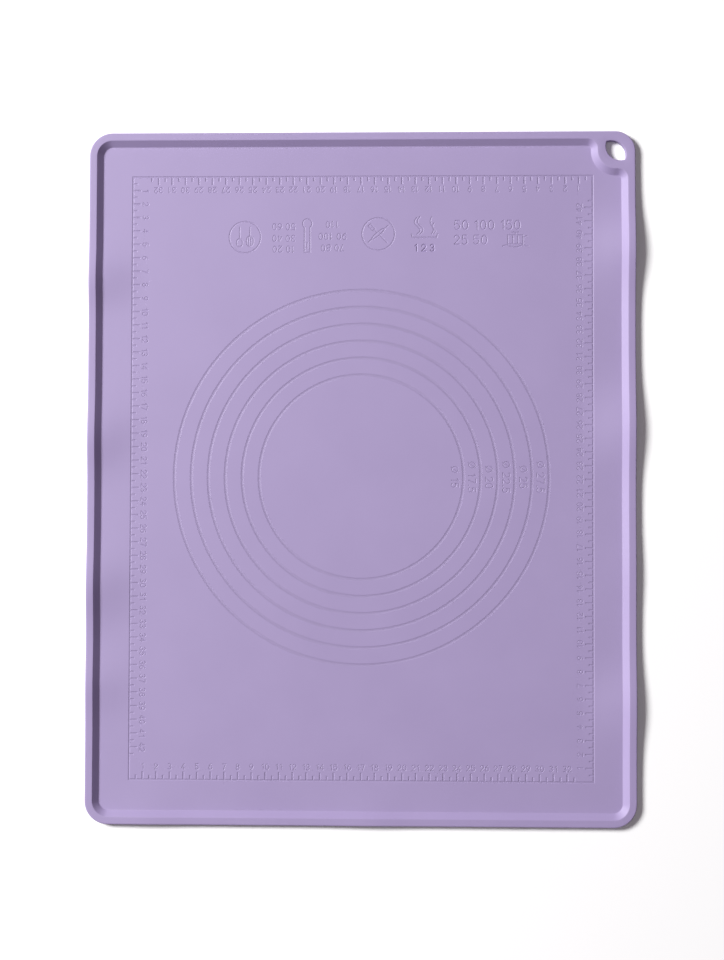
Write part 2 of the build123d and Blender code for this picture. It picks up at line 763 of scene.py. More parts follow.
def thinned(loop: Sequence[Point], slack: float) -> list[Point]:
    """Drops the points of a loop that lie within a slack of the line through the others.

    Args:
        loop: The loop.
        slack: The largest distance from the line.

    Returns:
        The points kept.
    """

    def keep(first: int, last: int) -> list[int]:
        """Gives the numbers kept between two points, the first of them included.

        Args:
            first: Number of the first point.
            last: Number of the last point.

        Returns:
            The numbers kept.
        """
        (x0, y0), (x1, y1) = ring[first], ring[last]
        length = math.hypot(x1 - x0, y1 - y0) or TINY
        worst, where = slack, 0
        for i in range(first + 1, last):
            x, y = ring[i]
            gap = abs((x1 - x0) * (y - y0) - (y1 - y0) * (x - x0)) / length
            if gap > worst:
                worst, where = gap, i
        if not where:
            return [first]
        return keep(first, where) + keep(where, last)

    ring = [*loop, loop[0]]
    far = max(range(len(loop)), key=lambda i: math.dist(loop[i], loop[0]))
    return [ring[i] for i in keep(0, far) + keep(far, len(loop))]


@dataclass
class Marks:
    """Every mark on the bed: frame line, rulers, rings, and their numbers and small pictures."""

    engraver: Engraver
    numerals: Numerals = field(default_factory=Numerals)
    width: float = 339.0 * MM
    length: float = 443.5 * MM
    right: float = 0.5 * MM
    centimetre: float = 10.0 * MM
    ruler_end_gap: float = 13.8 * MM
    whole_tick: float = 6.0 * MM
    half_tick: float = 3.5 * MM
    digit_height: float = 4.0 * MM
    digit_gap: float = 1.6 * MM
    smallest_ring: float = 150.0 * MM
    ring_step: float = 25.0 * MM
    ring_count: int = 6
    ring_stride: float = 2.5 * MM
    label_inset: float = 6.1 * MM
    label_height: float = 5.4 * MM
    line_clear: float = 1.6 * MM
    stamp_clear: float = 0.6 * MM
    contours: list[Contour] = field(default_factory=list)
    kept_clear: list[tuple[float, float, float, float]] = field(default_factory=list)

    def engrave(self) -> None:
        """Lays out all the marks."""
        self._frame_and_ticks()
        self._ruler_numbers()
        self._rings()
        self._picture_row()

    def _ticks(self, side: float) -> list[tuple[float, float]]:
        """Gives place and length of each tick along a side of the frame.

        Args:
            side: Length of the frame's side.

        Returns:
            Place and length of each tick.
        """
        spacing = self.centimetre / 2.0
        count = int((side - self.ruler_end_gap) / spacing)
        lengths = (self.whole_tick, self.half_tick)
        return [(i * spacing, lengths[i % 2]) for i in range(1, count + 1)]

    def _corners(self) -> list[tuple[Point, float, float]]:
        """Gives each frame corner, the direction of its ruler and the length of its side.

        Returns:
            Place, direction and length of each side.
        """
        x, y = self.width / 2.0, self.length / 2.0
        corners = ((-x, -y), (x, -y), (x, y), (-x, y))
        sides = (self.width, self.length) * 2
        return [
            ((cx + self.right, cy), i * QUARTER_TURN, side)
            for i, ((cx, cy), side) in enumerate(zip(corners, sides))
        ]

    def _frame_and_ticks(self) -> None:
        """Contours the frame line and the comb of ticks inside it."""
        groove = TICK_GROOVE
        for distance, depth in groove.levels():
            comb: list[Point] = []
            outer: list[Point] = []
            for corner, angle, side in self._corners():
                local = [(distance, distance)]
                for at, length in self._ticks(side):
                    tip = length - groove.half_width + distance
                    left, right = at - distance, at + distance
                    local += [(left, distance), (left, tip), (right, tip), (right, distance)]
                comb.extend(moved(point, corner, angle) for point in local)
                outer.append(moved((-distance, -distance), corner, angle))
            self.contours.append(Contour(tuple(comb), depth))
            self.contours.append(Contour(tuple(self._stepped(outer)), depth))

    def _stepped(self, corners: Sequence[Point]) -> list[Point]:
        """Divides a closed line's long sides into half-centimetre steps.

        Args:
            corners: Corners of the line.

        Returns:
            The line's points.
        """
        line: list[Point] = []
        for start, end in zip(corners, [*corners[1:], corners[0]]):
            count = round(math.dist(start, end) / (self.centimetre / 2.0))
            line += list(zip(evenly(start[0], end[0], count), evenly(start[1], end[1], count)))[:-1]
        return line

    def _stamp(
        self, name: str, strokes: Sequence[Stroke], groove: Groove, place: Point, angle: float
    ) -> None:
        """Engraves strokes at a place, and keeps loose points off it.

        Args:
            name: What the strokes show.
            strokes: Their centre lines about zero.
            groove: Section of the groove.
            place: Where zero goes.
            angle: How far they are turned.
        """
        cut = [c.placed(place, angle) for c in self.engraver.cut(name, strokes, groove)]
        self.contours.extend(cut)
        xs, ys = zip(*(point for contour in cut for point in contour.points))
        clear = self.stamp_clear
        self.kept_clear.append((min(xs) - clear, min(ys) - clear, max(xs) + clear, max(ys) + clear))

    def _number(self, text: str, height: float, groove: Groove, place: Point, angle: float) -> None:
        """Engraves a plain number, centred at a place."""
        name = f"{text} at {height:.5f}"
        self._stamp(name, self.numerals.line(text, height), groove, place, angle)

    def _ruler_numbers(self) -> None:
        """Numbers every whole centimetre, to be read from outside that side of the mat."""
        row = self.whole_tick + self.digit_gap + self.digit_height / 2.0
        for corner, angle, side in self._corners():
            for at, length in self._ticks(side):
                if length == self.whole_tick:
                    number = str(round(at / self.centimetre))
                    place = moved((at, row), corner, angle)
                    self._number(number, self.digit_height, DIGIT_GROOVE, place, angle)

    def _diameters(self) -> list[float]:
        """Gives the diameters of the rings."""
        return [self.smallest_ring + ring * self.ring_step for ring in range(self.ring_count)]

    def _rings(self) -> None:
        """Engraves the rings and the diameter inside each, in centimetres."""
        centre = (self.right, 0.0)
        for diameter in self._diameters():
            radius = diameter / 2.0
            steps = round(FULL_TURN * radius / self.ring_stride)
            for distance, depth in RING_GROOVE.levels():
                for line in (radius - distance, radius + distance):
                    points = arc_points(centre, line, 0.0, FULL_TURN, steps)[:-1]
                    self.contours.append(Contour(tuple(points), depth))
            text = f"Ø {diameter / self.centimetre:g}"
            place = (centre[0] + radius - self.label_inset, centre[1])
            self._number(text, self.label_height, LABEL_GROOVE, place, -QUARTER_TURN)

    def _picture_row(self) -> None:
        """Engraves the row of small pictures and plain numbers near the back end."""
        upright, upside_down = 0.0, HALF_TURN
        pictures = (  # with their middles in millimetres
            ("whisk and spoon", whisk_and_spoon(), -85.8, 177.0, upside_down),
            ("thermometer", thermometer(), -39.7, 178.0, upside_down),
            ("rolling pin and spatula", pin_and_spatula(), 12.7, 179.2, upright),
            ("hot dish", hot_dish(), 46.8, 183.7, upright),
            ("pot", pot(), 113.5, 174.7, upright),
        )
        for name, strokes, x, y, angle in pictures:
            self._stamp(name, strokes, PICTURE_GROOVE, (x * MM, y * MM), angle)
        numbers = (  # with their heights and middles in millimetres
            ("50 60", 4.6, LABEL_GROOVE, -56.9, 184.7, upside_down),
            ("30 40", 4.6, LABEL_GROOVE, -56.9, 176.0, upside_down),
            ("10 20", 4.6, LABEL_GROOVE, -56.9, 168.0, upside_down),
            ("110", 4.6, LABEL_GROOVE, -20.9, 186.2, upside_down),
            ("90 100", 4.6, LABEL_GROOVE, -20.9, 177.4, upside_down),
            ("70 80", 4.6, LABEL_GROOVE, -20.9, 168.9, upside_down),
            ("1 2 3", 4.9, BOLD_LABEL_GROOVE, 46.6, 168.8, upright),
            ("50 100 150", 6.6, LARGE_LABEL_GROOVE, 92.9, 185.6, upright),
            ("25 50", 6.6, LARGE_LABEL_GROOVE, 80.6, 174.7, upright),
        )
        for text, height, groove, x, y, angle in numbers:
            self._number(text, height * MM, groove, (x * MM, y * MM), angle)

    def near(self, x: float, y: float) -> bool:
        """Tells whether a loose point would lie in or beside a mark.

        Args:
            x: Place along X.
            y: Place along Y.

        Returns:
            True if it would.
        """
        margin = self.line_clear
        past_frame = max(abs(x - self.right) - self.width / 2.0, abs(y) - self.length / 2.0)
        if -(self.whole_tick + margin) < past_frame < margin:
            return True
        radius = math.hypot(x - self.right, y)
        if any(abs(radius - diameter / 2.0) < margin for diameter in self._diameters()):
            return True
        return any(x0 < x < x1 and y0 < y < y1 for x0, y0, x1, y1 in self.kept_clear)


def scaled(strokes: Iterable[Stroke], size: float) -> list[Stroke]:
    """Gives strokes at a size."""
    return [[(x * size, y * size) for x, y in stroke] for stroke in strokes]


def whisk_and_spoon() -> list[Stroke]:
    """A ring with a whisk and a spoon side by side, in units of its radius.

    Returns:
        The strokes, about the ring's centre.
    """
    radius = 11.6 * MM
    return scaled(
        [
            bow(0.0, 0.0, 1.0, 1.0, 0, 360, 48),
            [(-0.32, -0.62), (-0.32, -0.08)],
            bow(-0.32, 0.26, 0.22, 0.34, -90, 270, 20),
            bow(-0.32, 0.26, 0.08, 0.34, -90, 270, 16),
            [(0.34, -0.62), (0.34, 0.12)],
            bow(0.34, 0.36, 0.19, 0.26, -90, 270, 18),
        ],
        radius,
    )


def thermometer() -> list[Stroke]:
    """A thermometer with its bulb down.

    Returns:
        The strokes, about its middle.
    """
    bulb, stem, half_length = 3.4 * MM, 2.1 * MM, 12.4 * MM
    mark_start, mark_end = 0.42 * half_length, 0.76 * half_length
    centre = -half_length + bulb
    opening = math.degrees(math.asin(stem / bulb))
    bulb_line = bow(0.0, centre, bulb, bulb, 90 + opening, 450 - opening, 24)
    return [
        [(-stem, half_length), *bulb_line, (stem, half_length), (-stem, half_length)],
        [(0.0, mark_start), (0.0, mark_end)],
    ]


def pin_and_spatula() -> list[Stroke]:
    """A ring with a rolling pin and a spatula crossed in it, in units of its radius.

    Returns:
        The strokes, about the ring's centre.
    """

    def leaning(strokes: Sequence[Stroke], degrees: float) -> list[Stroke]:
        """Turns strokes about the ring's centre."""
        return [[moved(p, (0.0, 0.0), math.radians(degrees)) for p in stroke] for stroke in strokes]

    pin = [
        bow(0.0, 0.0, 0.1, 0.5, -90, 270, 28),
        [(0.0, 0.5), (0.0, 0.8)],
        [(0.0, -0.5), (0.0, -0.8)],
    ]
    spatula = [
        [(0.0, -0.78), (0.0, -0.17)],
        [(0.0, 0.17), (0.0, 0.36)],
        [(-0.08, 0.36), (0.08, 0.36), (0.1, 0.78), (-0.1, 0.78), (-0.08, 0.36)],
    ]
    ring, radius = bow(0.0, 0.0, 1.0, 1.0, 0, 360, 48), 12.0 * MM
    return scaled([ring, *leaning(pin, -50), *leaning(spatula, 45)], radius)


def hot_dish() -> list[Stroke]:
    """A flat dish with four curls of heat over it.

    Returns:
        The strokes, about its middle.
    """
    half_width, half_floor, lip, base = 9.6 * MM, 8.8 * MM, 2.4 * MM, -7.2 * MM
    edge, steps, narrowed = base + lip, 14, 0.6

    def heat(x: float, low: float, high: float, sway: float) -> Stroke:
        """One curl that rises from the dish and narrows."""
        ends = ((0.0, FULL_TURN), (1.0, narrowed), (low, high))
        rise = zip(*(evenly(start, end, steps) for start, end in ends))
        return [(x + sway * share * math.sin(angle), y) for angle, share, y in rise]

    return [
        [(-half_width, edge), (-half_floor, base), (half_floor, base), (half_width, edge)],
        heat(-5.6 * MM, -4.8 * MM, 7.6 * MM, 2.6 * MM),
        heat(-3.4 * MM, -4.8 * MM, 8.2 * MM, 2.6 * MM),
        heat(5.2 * MM, -4.6 * MM, 8.0 * MM, 1.5 * MM),
        heat(6.9 * MM, -4.6 * MM, 3.4 * MM, 1.2 * MM),
    ]


def pot() -> list[Stroke]:
    """A small pot with a lid over a wave of heat.

    Returns:
        The strokes, about its middle.
    """
    half_width, half_knob, rim, foot, lid = 5.6 * MM, 2.4 * MM, 3.4 * MM, -3.0 * MM, 5.4 * MM
    wave, reach, sway, steps = -4.8 * MM, 9.4 * MM, 0.8 * MM, 24
    along = zip(evenly(-reach, reach, steps), evenly(0.0, 3.0 * HALF_TURN, steps))
    body = [(-half_width, foot), (-half_width, rim), (half_width, rim), (half_width, foot)]
    return [
        [*body, body[0]],
        [(-half_width / 3.0, foot), (-half_width / 3.0, rim)],
        [(half_width / 3.0, foot), (half_width / 3.0, rim)],
        [(-half_knob, lid), (half_knob, lid)],
        [(0.0, rim), (0.0, lid)],
        [(half_width, rim - 1.6 * MM), (half_width + 3.0 * MM, rim - 0.6 * MM)],
        [(x, wave + sway * math.sin(angle)) for x, angle in along],
    ]


@dataclass
class HangingCorner:
    """The raised pad at the back right, with its sloped wall and eye-shaped hole."""

    section: RimSection
    side_x: float
    end_y: float
    zone: float
    outer_radius: float = 15.0 * MM
    blend: float = 3.0 * MM
    flank: float = 1.1 * MM
    hole_length: float = 18.8 * MM
    hole_width: float = 11.8 * MM
    hole_inset: float = 14.3 * MM
    tip_round: float = 1.2 * MM
    hole_edge_round: float = 0.8 * MM
    outer_steps: int = 18
    blend_steps: int = 12
    pad_steps: int = 20
    eye_steps: int = 16
    tip_steps: int = 6

    def _here(self, stations: Iterable[Station]) -> list[Station]:
        """Turns stations measured in from the two outer edges into places on the mat."""
        x, y = self.side_x, self.end_y
        return [Station(x - s.x, y - s.y, -s.toward_x, -s.toward_y) for s in stations]

    def outer_line(self, step: float) -> list[Station]:
        """Stations round the outer edge, from the right rim to the back rim.

        Args:
            step: Largest spacing on the straights.

        Returns:
            The stations.
        """
        radius, steps = self.outer_radius, self.outer_steps
        return self._here(
            joined(
                straight((0.0, self.zone), (0.0, radius), (1.0, 0.0), step),
                turn((radius, radius), radius, HALF_TURN, 1.5 * HALF_TURN, steps, False),
                straight((radius, 0.0), (self.zone, 0.0), (0.0, 1.0), step),
            )
        )

    def wall_line(self) -> list[Station]:
        """Stations along the foot of the wall, from the right rim to the back rim.

        Returns:
            The stations.
        """
        foot = self.section.foot
        pad_foot = self.zone - self.blend
        blend_end = foot + self.blend
        centre = blend_end + self.flank
        down = 1.5 * HALF_TURN
        step, steps = self.flank, self.blend_steps
        return self._here(
            joined(
                turn((blend_end, self.zone), self.blend, HALF_TURN, down, steps, False),
                straight((blend_end, pad_foot), (centre, pad_foot), (0.0, 1.0), step),
                turn((centre, centre), pad_foot - centre, QUARTER_TURN, 0.0, self.pad_steps, True),
                straight((pad_foot, centre), (pad_foot, blend_end), (1.0, 0.0), step),
                turn((self.zone, blend_end), self.blend, HALF_TURN, down, steps, False),
            )
        )

    def hole_line(self) -> list[Station]:
        """Stations round the eye-shaped hole, laid off away from its middle.

        Returns:
            The stations, the first one repeated at the end.
        """
        half_length, half_width, tip = self.hole_length / 2.0, self.hole_width / 2.0, self.tip_round
        radius = (half_length**2 + half_width**2) / (2.0 * half_width)
        sunk = radius - half_width
        tip_x = math.sqrt((radius - tip) ** 2 - sunk**2)
        edge = math.atan2(sunk, tip_x)
        long, short = self.eye_steps, self.tip_steps
        eye = joined(
            turn((0.0, -sunk), radius, edge, HALF_TURN - edge, long, True),
            turn((-tip_x, 0.0), tip, HALF_TURN - edge, HALF_TURN + edge, short, True),
            turn((0.0, sunk), radius, HALF_TURN + edge, FULL_TURN - edge, long, True),
            turn((tip_x, 0.0), tip, -edge, edge, short, True),
        )
        middle = (self.side_x - self.hole_inset, self.end_y - self.hole_inset)
        lean = -QUARTER_TURN / 2.0
        places = [moved((s.x, s.y), middle, lean) for s in eye]
        directions = [moved((s.toward_x, s.toward_y), (0.0, 0.0), lean) for s in eye]
        return [Station(*place, *toward) for place, toward in zip(places, directions)]

    def hole_section(self) -> list[Point]:
        """Section of the hole's wall: over its upper edge, down, and over its lower edge.

        Returns:
            Its points, as distance and height.
        """
        edge, height, steps = self.hole_edge_round, self.section.height, self.section.steps
        return [
            *arc_points((edge, height - edge), edge, QUARTER_TURN, HALF_TURN, steps),
            *arc_points((edge, edge), edge, HALF_TURN, 1.5 * HALF_TURN, steps),
        ]

    def build(self, step: float) -> Shell:
        """Builds the closed piece.

        Args:
            step: Largest spacing on the straights.

        Returns:
            The piece.
        """
        shell = Shell("hanging_corner")
        outer, wall, hole = self.outer_line(step), self.wall_line(), self.hole_line()
        section = self.section
        foot = section.foot
        shell.loft(Side.UPPER, outer, section.outer_part())
        shell.loft(Side.UPPER, wall, section.inner_part(), foot)
        shell.loft(Side.UPPER, hole, self.hole_section())
        top_line = [s.point(section.edging) for s in outer]
        top_line += [s.point(section.wall_back - foot) for s in reversed(wall)]
        hole_edge = [s.point(self.hole_edge_round) for s in hole[:-1]]
        shell.plane(Side.UPPER, section.height, [top_line, hole_edge])
        under_line = [s.point(0.0) for s in outer]
        under_line += [s.point(section.width - foot) for s in reversed(wall)]
        shell.plane(Side.UNDER, 0.0, [under_line, hole_edge])
        shell.loft(Side.JOINT, wall, [(section.width, section.bed), (section.width, 0.0)], foot)
        for end in (outer[0], outer[-1]):
            shell.cap(end, section)
        return shell


@dataclass
class Mat:
    """The whole mat: nine closed pieces that share one skin."""

    side_x: float
    end_y: float
    section: RimSection
    hanging: HangingCorner
    marks: Marks
    corner_radius: float
    corner_steps: int = 20
    step: float = 4.5 * MM
    loose_step: float = 5.0 * MM
    loose_clear: float = 2.2 * MM
    shells: list[Shell] = field(default_factory=list)
    inner_line: list[Point] = field(default_factory=list)

    def build(self) -> None:
        """Builds every piece, anticlockwise from the front run, and the bed last."""
        x, y, radius = self.side_x, self.end_y, self.corner_radius
        corner_x, corner_y = x - radius, y - radius
        zone = self.hanging.zone
        right, left, front, back = (1.0, 0.0), (-1.0, 0.0), (0.0, -1.0), (0.0, 1.0)
        step = self.step
        self._rim("rim_front", straight((-corner_x, -y), (corner_x, -y), back, step))
        self._rim("rim_corner_front_right", self._corner((corner_x, -corner_y), -QUARTER_TURN))
        self._rim("rim_right", straight((x, -corner_y), (x, y - zone), left, step))
        self.shells.append(self.hanging.build(step))
        border = self.section.width - self.section.foot
        self.inner_line.extend(s.point(border) for s in self.hanging.wall_line()[:-1])
        self._rim("rim_back", straight((x - zone, y), (-corner_x, y), front, step))
        self._rim("rim_corner_back_left", self._corner((-corner_x, corner_y), QUARTER_TURN))
        self._rim("rim_left", straight((-x, corner_y), (-x, -corner_y), right, step))
        self._rim("rim_corner_front_left", self._corner((-corner_x, -corner_y), HALF_TURN))
        self._bed()

    def _corner(self, centre: Point, start: float) -> list[Station]:
        """Stations round a plain corner."""
        end = start + QUARTER_TURN
        return turn(centre, self.corner_radius, start, end, self.corner_steps, False)

    def _rim(self, name: str, stations: Sequence[Station]) -> None:
        """Builds a stretch of rim as a closed piece, and carries the bed's border on.

        Args:
            name: The node that the piece replaces.
            stations: Places along the outer edge.
        """
        shell = Shell(name)
        width = self.section.width
        shell.loft(Side.UPPER, stations, self.section.whole())
        shell.loft(Side.JOINT, stations, [(width, self.section.bed), (width, 0.0)])
        shell.loft(Side.UNDER, stations, [(width, 0.0), (0.0, 0.0)])
        for end in (stations[0], stations[-1]):
            shell.cap(end, self.section)
        self.shells.append(shell)
        self.inner_line.extend(s.point(width) for s in stations[:-1])

    def _bed(self) -> None:
        """Builds the bed: its engraved upper face, its border and its underside."""
        shell = Shell("bed_sheet")
        border, top = self.inner_line, self.section.bed
        loose = self._loose_points()
        places = list(border)
        depths = [0.0] * len(border)
        lines = closed_lines(0, len(border))
        for contour in self.marks.contours:
            count = len(contour.points)
            lines.extend(closed_lines(len(places), count)[: count if contour.closed else count - 1])
            places.extend(contour.points)
            depths.extend([contour.depth] * count)
        places.extend(loose)
        depths.extend([0.0] * len(loose))
        for face, origins in triangulated(places, lines).corners():
            if all(min(o) < len(border) for o in origins) and not inside(middle_of(face), border):
                continue
            sunk = [max(depths[i] for i in o) for o in origins]
            side = Side.GROOVE if any(sunk) else Side.UPPER
            shell.face(side, *(shell.point(x, y, top - depth) for (x, y), depth in zip(face, sunk)))
        shell.plane(Side.UNDER, 0.0, [border], loose)
        closed_border = [*border, border[0]]
        rows = [[shell.point(*p, z) for p in closed_border] for z in (top, 0.0)]
        shell.strip(Side.JOINT, rows)
        self.shells.append(shell)

    def _loose_points(self) -> list[Point]:
        """Scatters points over the bed, clear of its border and of the marks.

        Returns:
            The points.
        """
        clear = self.loose_clear
        reach_x = self.side_x - self.section.width - clear
        reach_y = self.end_y - self.section.width - clear
        zone_x, zone_y = (edge - self.hanging.zone - clear for edge in (self.side_x, self.end_y))
        points = []
        for x in evenly(-reach_x, reach_x, round(2.0 * reach_x / self.loose_step)):
            for y in evenly(-reach_y, reach_y, round(2.0 * reach_y / self.loose_step)):
                in_zone = x > zone_x and y > zone_y
                in_corner = abs(x) > reach_x - clear and abs(y) > reach_y - clear
                if not in_zone and not in_corner and not self.marks.near(x, y):
                    points.append((x, y))
        return points


def corner_rows(mesh: bpy.types.Mesh) -> tuple[np.ndarray, np.ndarray, np.ndarray, np.ndarray]:
    """Reads what the shared normals need of every face corner.

    Args:
        mesh: A piece's mesh.

    Returns:
        Each corner's place, its face's normal and side, and its angle in the face.
    """
    points = read(mesh.vertices, "co", 3)
    starts = read(mesh.polygons, "loop_start", 1, int)
    totals = read(mesh.polygons, "loop_total", 1, int)
    corners = read(mesh.loops, "vertex_index", 1, int)
    owner = np.repeat(np.arange(len(starts)), totals)
    here = np.arange(len(corners))
    first, last = starts[owner], starts[owner] + totals[owner] - 1
    ahead = np.where(here == last, first, here + 1)
    behind = np.where(here == first, last, here - 1)
    out = points[corners[ahead]] - points[corners]
    back = points[corners[behind]] - points[corners]
    reach = np.linalg.norm(out, axis=1) * np.linalg.norm(back, axis=1) + TINY
    angle = np.arccos(np.clip((out * back).sum(axis=1) / reach, -1.0, 1.0))
    side = read(mesh.attributes["side"].data, "value", 1, int)
    return points[corners], read(mesh.polygons, "normal", 3)[owner], side[owner], angle


class Skin:
    """Makes the Blender meshes of all shells, with one set of normals over all of them."""

    ENGRAVED = "engraved"
    SAME_PLACE = 5.0 * Shell.WELD

    def __init__(self, shells: Sequence[Shell], waves: Waves) -> None:
        """Bends every shell by the waves and works out the shared normals.

        Args:
            shells: The mat's pieces.
            waves: The waves of the mat as it lies.
        """
        self.shells = shells
        self.meshes = [self._mesh(shell, waves) for shell in shells]
        self._share_normals()

    def _mesh(self, shell: Shell, waves: Waves) -> bpy.types.Mesh:
        """Makes one closed mesh with its faces turned outwards.

        Args:
            shell: The piece.
            waves: The waves of the mat as it lies.

        Returns:
            The mesh.
        """
        flat = np.array(shell.points)
        flat[:, 2] += waves.lift(flat[:, 0], flat[:, 1])
        mesh = bpy.data.meshes.new(shell.name + "_skin")
        mesh.from_pydata(flat.tolist(), [], shell.faces)
        side = mesh.attributes.new("side", "INT", "FACE")
        side.data.foreach_set("value", [s.value for s in shell.sides])
        # This mask of the groove faces drives the painted shade that the material puts into the
        # grooves.
        engraved = mesh.attributes.new(self.ENGRAVED, "FLOAT", "FACE")
        engraved.data.foreach_set("value", [float(s is Side.GROOVE) for s in shell.sides])
        turn_outwards(mesh)
        return mesh

    def _share_normals(self) -> None:
        """Averages the normals of the faces that meet at each place, over all the pieces."""
        rows = [corner_rows(mesh) for mesh in self.meshes]
        place, normal, side, weight = (np.concatenate(column) for column in zip(*rows))
        key = np.column_stack((np.round(place / self.SAME_PLACE).astype(np.int64), side))
        _, group = np.unique(key, axis=0, return_inverse=True)
        group = group.ravel()
        total = np.zeros((group.max() + 1, 3))
        np.add.at(total, group, normal * weight[:, None])
        total /= np.maximum(np.linalg.norm(total, axis=1, keepdims=True), TINY)
        flat = (side == Side.JOINT.value) | (side == Side.GROOVE.value)
        shared = np.where(flat[:, None], normal, total[group])
        start = 0
        for mesh in self.meshes:
            count = len(mesh.loops)
            mesh.normals_split_custom_set(shared[start : start + count].tolist())
            start += count

    def dress(self, finish: bpy.types.Material) -> list[bpy.types.Object]:
        """Puts a finished object in each node's place and rides it on the body.

        Args:
            finish: The material of every piece.

        Returns:
            The objects.
        """
        made = []
        for shell, mesh in zip(self.shells, self.meshes):
            piece = placed_object(shell.name + "_skin", mesh)
            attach(piece, "root")
            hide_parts(shell.name)
            mesh.materials.append(finish)
            made.append(piece)
        return made


def read(
    items: bpy.types.bpy_prop_collection, name: str, width: int, kind: type = float
) -> np.ndarray:
    """Reads one value of every item of a collection.

    Args:
        items: The collection.
        name: What to read.
        width: Numbers per item.
        kind: Kind of number.

    Returns:
        One row per item, or a plain list of numbers where the width is 1.
    """
    values = np.empty(len(items) * width, dtype=np.float32 if kind is float else np.int32)
    items.foreach_get(name, values)
    values = values.astype(np.float64 if kind is float else np.int64)
    return values.reshape(-1, width) if width > 1 else values


def turn_outwards(mesh: bpy.types.Mesh) -> None:
    """Turns a closed mesh's faces outwards and smooths them.

    Args:
        mesh: The mesh.
    """
    work = bmesh.new()
    work.from_mesh(mesh)
    bmesh.ops.recalc_face_normals(work, faces=work.faces)
    open_edges = sum(1 for edge in work.edges if len(edge.link_faces) != 2)
    for face in work.faces:
        face.smooth = True
    work.to_mesh(mesh)
    work.free()
    log.info("%s: %d faces, %d open edges", mesh.name, len(mesh.polygons), open_edges)


def placed_object(name: str, data: bpy.types.ID) -> bpy.types.Object:
    """Makes an object and links it to the scene.

    Args:
        name: The object's name.
        data: Its mesh, lamp or camera.

    Returns:
        The object.
    """
    made = bpy.data.objects.new(name, data)
    bpy.context.scene.collection.objects.link(made)
    return made


def srgb(*channels: int) -> Colour:
    """Turns an 8-bit display colour into Blender's linear colour.

    Args:
        *channels: Red, green and blue, from 0 to 255.

    Returns:
        The linear colour.
    """
    shares = [channel / 255.0 for channel in channels]
    red, green, blue = (s / 12.92 if s <= 0.04045 else ((s + 0.055) / 1.055) ** 2.4 for s in shares)
    return (red, green, blue, 1.0)


class Wiring:
    """The nodes of a material or a world."""

    def __init__(self, owner: bpy.types.Material | bpy.types.World) -> None:
        """Turns the owner's nodes on."""
        owner.use_nodes = True
        self.tree = owner.node_tree

    def set(self, node: bpy.types.Node, values: dict[str | int, float | Colour]) -> None:
        """Sets input sockets of a node."""
        for name, value in values.items():
            node.inputs[name].default_value = value

    def add(
        self, kind: str, values: dict[str | int, float | Colour] | None = None, **settings: str
    ) -> bpy.types.Node:
        """Adds a node.

        Args:
            kind: Its type without the word ShaderNode.
            values: Values of its input sockets.
            **settings: Settings of the node itself.

        Returns:
            The node.
        """
        node = self.tree.nodes.new("ShaderNode" + kind)
        for name, value in settings.items():
            setattr(node, name, value)
        self.set(node, values or {})
        return node

    def link(
        self, giver: bpy.types.Node, output: str, taker: bpy.types.Node, socket: str | int
    ) -> None:
        """Links an output of one node to an input of another."""
        self.tree.links.new(giver.outputs[output], taker.inputs[socket])


